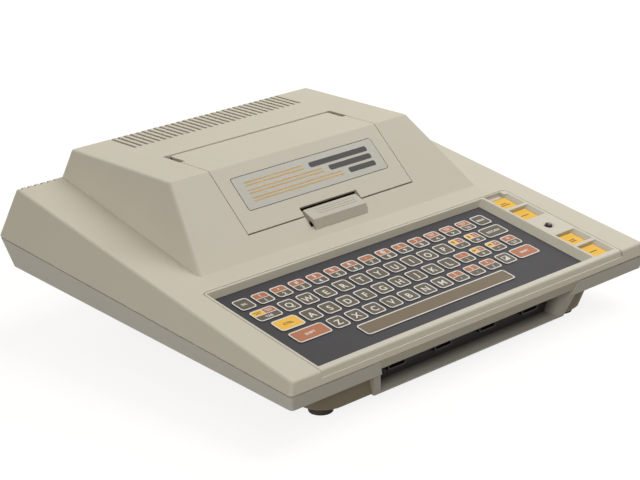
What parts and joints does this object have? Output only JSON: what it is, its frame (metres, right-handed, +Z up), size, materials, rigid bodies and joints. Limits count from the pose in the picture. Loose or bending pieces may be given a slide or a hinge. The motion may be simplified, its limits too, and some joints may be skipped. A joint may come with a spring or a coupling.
{
  "type": "vintage home computer",
  "caption": "Wedge-shaped beige home computer: flat printed keyboard, cartridge door in the hump, function keys, controller bay.",
  "frame": {"origin": "on the desk under the middle of the case", "axes": "+X to the right of someone at the keyboard, +Y to the back, +Z up"},
  "size_m": [0.343, 0.292, 0.114],
  "materials": {
    "upper_shell": "warm beige moulding with a fine spark texture",
    "surround": "the same beige, a little smoother",
    "lower_shell": "darker brown-grey moulding with a fine texture",
    "latch_plastic": "grey-beige, satin",
    "plate_silver": "satin silver-grey plate, lightly brushed",
    "steel": "plain zinc-plated steel",
    "spring_steel": "bright spring wire",
    "key_sheet": "dark charcoal printed polyester, fine matt grain",
    "contact_film": "amber-grey printed film",
    "console_yellow": "yellow moulding, satin",
    "board_green": "green solder mask",
    "lamp_red": "deep red lens, unlit",
    "panel_black": "black, slightly brown, matt",
    "black_plastic": "black moulding, satin",
    "chip_black": "black epoxy",
    "cast_shield": "raw casting, dull",
    "guide_brown": "dark brown moulding, matt",
    "plunger_red": "red moulding",
    "capacitor_blue": "blue sleeve",
    "tin_can": "tinned steel can",
    "rubber_black": "black rubber, matt",
    "speaker_black": "paper cone in a black frame"
  },
  "bodies": {
    "case": {"top_case": "upper_shell", "bottom_case": "lower_shell", "jack_bay": "lower_shell", "socket_bay": "lower_shell", "socket_wall": "lower_shell", "door_hinge_pins": "steel", "latch_spring": "spring_steel", "keyboard_bezel": "surround", "keyboard_sheet": "key_sheet", "keyboard_contacts": "contact_film", "keyboard_backplate": "steel", "keyboard_tail": "contact_film", "keyboard_connector": "black_plastic", "console_key_springs": "spring_steel", "console_board": "board_green", "keyboard_screws": "steel", "power_led": "lamp_red", "jack_panel": "panel_black", "controller_jack_1": "black_plastic", "controller_jack_2": "black_plastic", "controller_jack_3": "black_plastic", "controller_jack_4": "black_plastic", "main_board": "board_green", "main_board_chips": "chip_black", "shield_lower": "cast_shield", "shield_upper": "cast_shield", "shield_screws": "steel", "card_connectors": "black_plastic", "processor_card": "board_green", "memory_card": "board_green", "card_chips": "chip_black", "cartridge_guide": "guide_brown", "cartridge_connector": "black_plastic", "interlock_switch": "black_plastic", "power_board": "board_green", "heat_sink": "cast_shield", "regulators": "chip_black", "filter_capacitors": "capacitor_blue", "side_panel": "guide_brown", "peripheral_socket": "black_plastic", "channel_switch": "tin_can", "power_switch": "black_plastic", "power_socket": "black_plastic", "rf_modulator": "tin_can", "lead_gland": "rubber_black", "speaker": "speaker_black", "rubber_feet": "rubber_black", "case_screws": "steel"},
    "door": {"cartridge_door": "upper_shell", "nameplate": "plate_silver"},
    "latch": {"door_latch": "latch_plastic"},
    "console_key_a": {"console_key_1": "console_yellow"},
    "console_key_b": {"console_key_2": "console_yellow"},
    "console_key_c": {"console_key_3": "console_yellow"},
    "console_key_d": {"console_key_4": "console_yellow"},
    "plunger": {"interlock_plunger": "plunger_red"},
    "channel_knob": {"channel_slider": "black_plastic"},
    "rocker": {"power_rocker": "black_plastic"}
  },
  "joints": [
    {"name": "door_hinge", "type": "hinge", "parent": "case", "child": "door", "pos_m": [0, 0.0753, 0.11125], "axis": [-1, 0, 0], "range_deg": [0, 100]},
    {"name": "latch_slide", "type": "slide", "parent": "case", "child": "latch", "axis": [0, -0.7337, -0.6794], "range_m": [0, 0.004], "stiffness_N_per_m": 400, "springref_m": -0.001},
    {"name": "console_key_a_press", "type": "slide", "parent": "case", "child": "console_key_a", "axis": [0, 0.1829, -0.9831], "range_m": [0, 0.0015], "stiffness_N_per_m": 400, "springref_m": -0.001},
    {"name": "console_key_b_press", "type": "slide", "parent": "case", "child": "console_key_b", "axis": [0, 0.1829, -0.9831], "range_m": [0, 0.0015], "stiffness_N_per_m": 400, "springref_m": -0.001},
    {"name": "console_key_c_press", "type": "slide", "parent": "case", "child": "console_key_c", "axis": [0, 0.1829, -0.9831], "range_m": [0, 0.0015], "stiffness_N_per_m": 400, "springref_m": -0.001},
    {"name": "console_key_d_press", "type": "slide", "parent": "case", "child": "console_key_d", "axis": [0, 0.1829, -0.9831], "range_m": [0, 0.0015], "stiffness_N_per_m": 400, "springref_m": -0.001},
    {"name": "plunger_slide", "type": "slide", "parent": "case", "child": "plunger", "axis": [0, 0, 1], "range_m": [0, 0.002]},
    {"name": "channel_slide", "type": "slide", "parent": "case", "child": "channel_knob", "axis": [0, 1, 0], "range_m": [0, 0.003]},
    {"name": "power_rocker_tilt", "type": "hinge", "parent": "case", "child": "rocker", "pos_m": [0.114, 0.012, 0.0211], "axis": [0, 0, 1], "range_deg": [-16, 0]}
  ],
  "couplings": [
    {"joint": "plunger_slide", "follows": "door_hinge", "m_per_rad": 0.001145}
  ]
}
